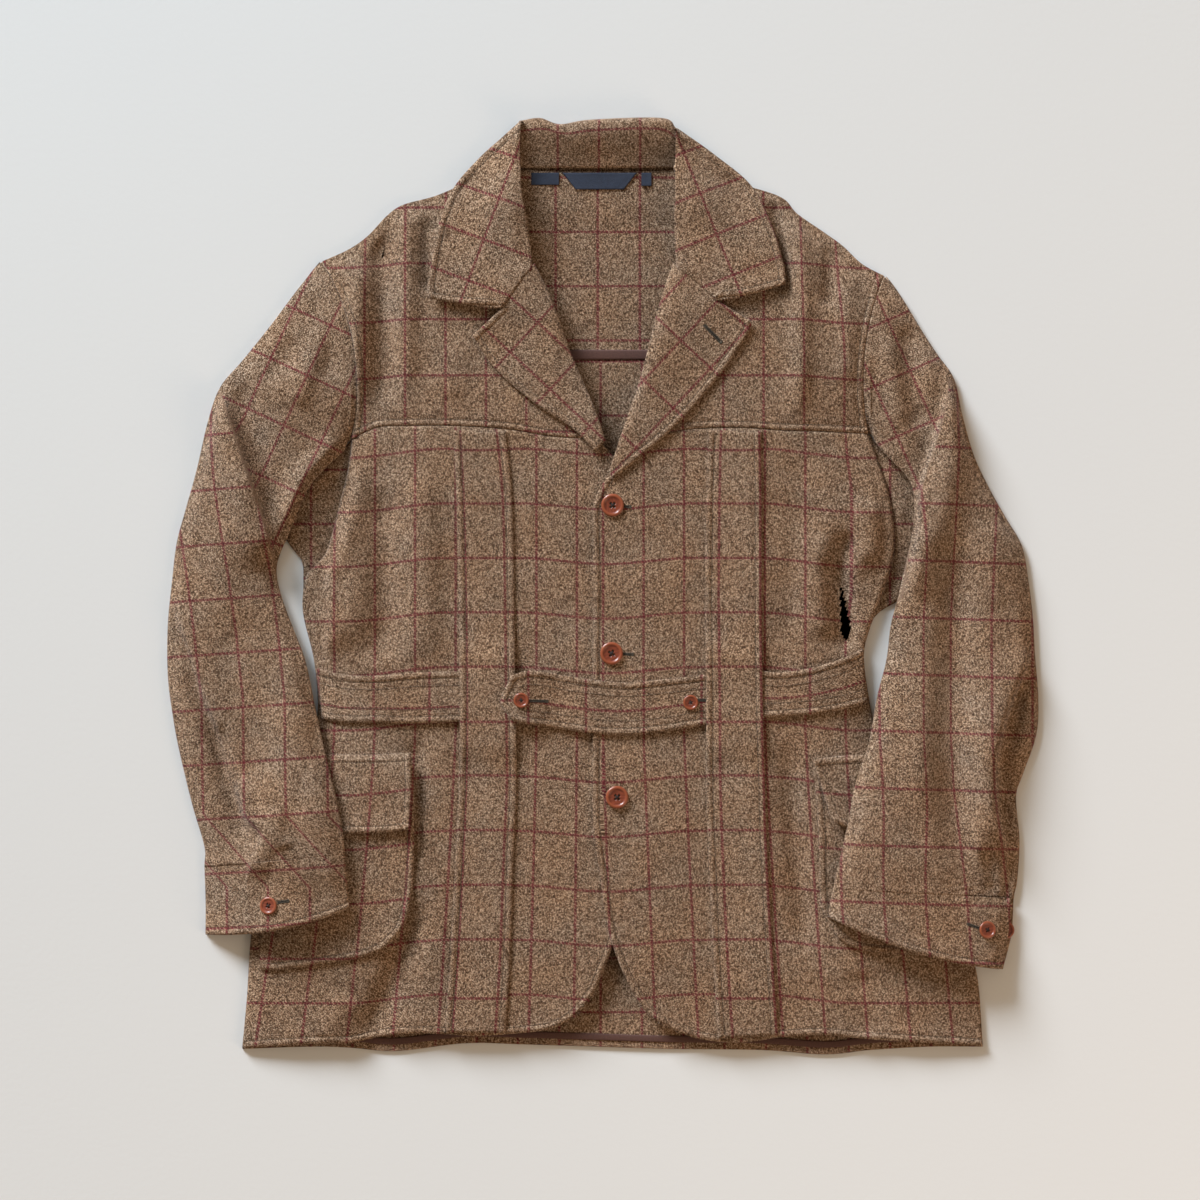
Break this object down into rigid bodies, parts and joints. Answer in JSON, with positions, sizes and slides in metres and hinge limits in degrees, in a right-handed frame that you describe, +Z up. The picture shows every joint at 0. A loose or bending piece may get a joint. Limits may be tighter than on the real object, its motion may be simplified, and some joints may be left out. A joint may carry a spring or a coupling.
{
  "type": "norfolk jacket",
  "caption": "Tweed norfolk jacket laid flat and buttoned, with notched collar, yoke, applied pleats, belt, flap pockets and buttoned cuffs.",
  "frame": {"origin": "middle of the jacket's box, on the surface that it lies on", "axes": "+Z up from the surface, +Y from the hem to the collar, +X to the wearer's left"},
  "size_m": [0.7836, 0.84, 0.0352],
  "materials": {
    "tweed": "heathered taupe wool tweed with a thin maroon windowpane check, softly napped and matt",
    "button": "russet imitation horn with a darker swirl, satin",
    "label": "woven navy satin, bare",
    "binding": "reddish brown seam tape, matt"
  },
  "bodies": {
    "root": {"back": "tweed", "back_yoke": "tweed", "belt_front": "tweed", "belt_l": "tweed", "belt_r": "tweed", "button_belt_l": "button", "button_belt_r": "button", "button_cuff_l": "button", "button_cuff_l_inner": "button", "button_cuff_r": "button", "button_front_low": "button", "button_front_middle": "button", "button_front_top": "button", "collar_back": "tweed", "collar_leaf_l": "tweed", "collar_leaf_r": "tweed", "cuff_back_l": "tweed", "cuff_back_r": "tweed", "cuff_over_l": "tweed", "cuff_over_r": "tweed", "cuff_tab_r": "tweed", "flap_l": "tweed", "flap_r": "tweed", "front_l": "tweed", "front_r": "tweed", "hem_binding": "binding", "label_care": "label", "label_main": "label", "label_size": "label", "lapel_l": "tweed", "lapel_r": "tweed", "pleat_l": "tweed", "pleat_r": "tweed", "pocket_l": "tweed", "pocket_r": "tweed", "sleeve_top_l": "tweed", "sleeve_top_r": "tweed", "sleeve_under_l": "tweed", "sleeve_under_r": "tweed", "yoke_binding": "binding", "yoke_l": "tweed", "yoke_r": "tweed"}
  },
  "joints": []
}
